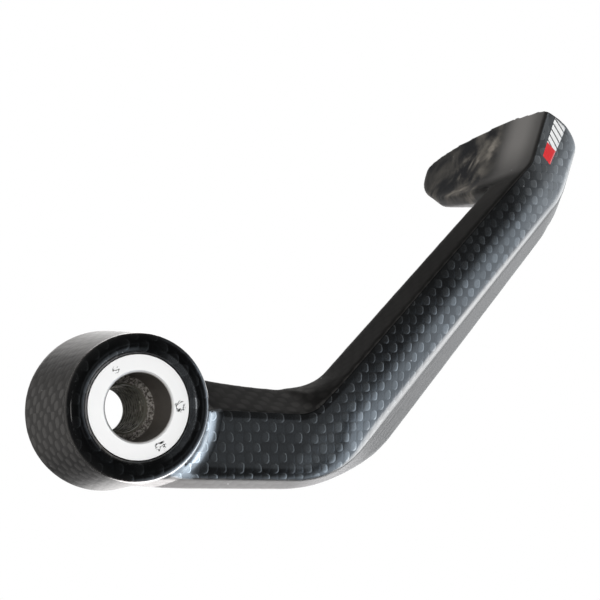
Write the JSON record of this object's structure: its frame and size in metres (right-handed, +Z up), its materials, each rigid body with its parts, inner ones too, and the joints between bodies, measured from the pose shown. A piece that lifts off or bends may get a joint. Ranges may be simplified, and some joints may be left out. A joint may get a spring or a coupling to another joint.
{
  "type": "brake lever guard",
  "caption": "Moulded carbon fibre brake lever guard with a round boss, a bonded aluminium bush and a fin ahead of the lever tip.",
  "frame": {"origin": "on the bush's axis, at the bush's back face", "axes": "+Y along the bush, inboard; +X forward along the arm; +Z up, as the arm rises to its tip"},
  "size_m": [0.1424, 0.0585, 0.0905],
  "materials": {
    "carbon_arm": "clear coated plain weave carbon fibre",
    "bar_end_bush": "bare, turned"
  },
  "bodies": {
    "root": {"carbon_arm": "carbon_arm", "bar_end_bush": "bar_end_bush"}
  },
  "joints": []
}
